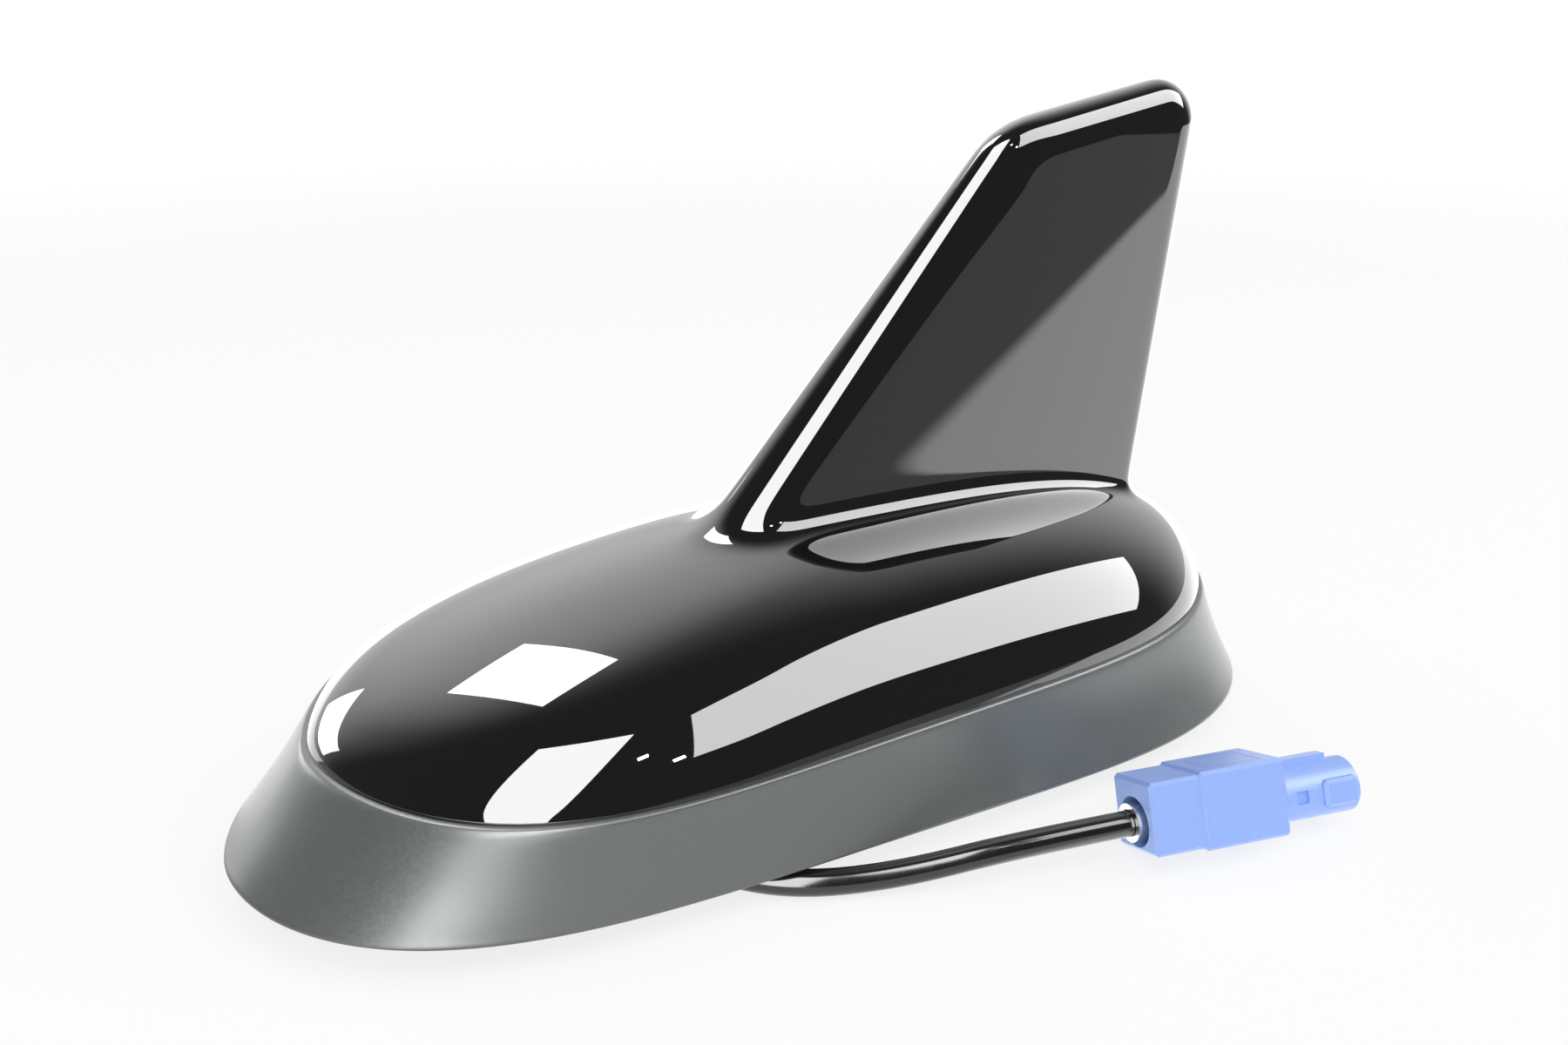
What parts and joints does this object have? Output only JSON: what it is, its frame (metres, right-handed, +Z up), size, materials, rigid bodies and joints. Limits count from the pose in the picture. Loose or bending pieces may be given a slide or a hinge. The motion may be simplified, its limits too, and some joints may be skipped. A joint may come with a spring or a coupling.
{
  "type": "car roof antenna",
  "caption": "Fin-shaped car roof antenna with a hollow gloss cover, a flared skirt, a foam seal and a short coax lead with a keyed plug.",
  "frame": {"origin": "centre of the base at the roof surface, under the foam seal", "axes": "+Z up from the roof, +X towards the rear of the fin, +Y to the side away from the lead"},
  "size_m": [0.14, 0.0857, 0.0824],
  "materials": {
    "gloss_black": "gloss moulded",
    "skirt_grey": "fine matt moulded",
    "cast_plate": "as cast",
    "foam_seal": "closed-cell foam",
    "screw_steel": "zinc plated",
    "insert_brass": "turned",
    "board_green": "solder mask",
    "tape_white": "foam tape",
    "patch_ceramic": "fired",
    "tinned_metal": "tinned",
    "tinplate": "tin plated sheet",
    "chip_black": "moulded",
    "cable_black": "smooth jacket",
    "grommet_rubber": "moulded",
    "plug_blue": "moulded",
    "nickel": "nickel plated",
    "insulator_white": "moulded",
    "contact_gold": "gold plated"
  },
  "bodies": {
    "root": {"cover": "gloss_black", "skirt": "skirt_grey", "base_plate": "cast_plate", "seal_gasket": "foam_seal", "cover_screws": "screw_steel", "board_screws": "screw_steel", "roof_insert": "insert_brass", "gps_board": "board_green", "patch_tape": "tape_white", "patch_antenna": "patch_ceramic", "feed_pin": "tinned_metal", "shield_can": "tinplate", "amplifier_parts": "chip_black", "coax_inside": "cable_black", "coax_lead": "cable_black", "cable_grommet": "grommet_rubber", "plug_housing": "plug_blue", "plug_lock": "plug_blue", "crimp_ferrule": "nickel", "plug_shell": "nickel", "plug_insulator": "insulator_white", "centre_contact": "contact_gold"}
  },
  "joints": []
}
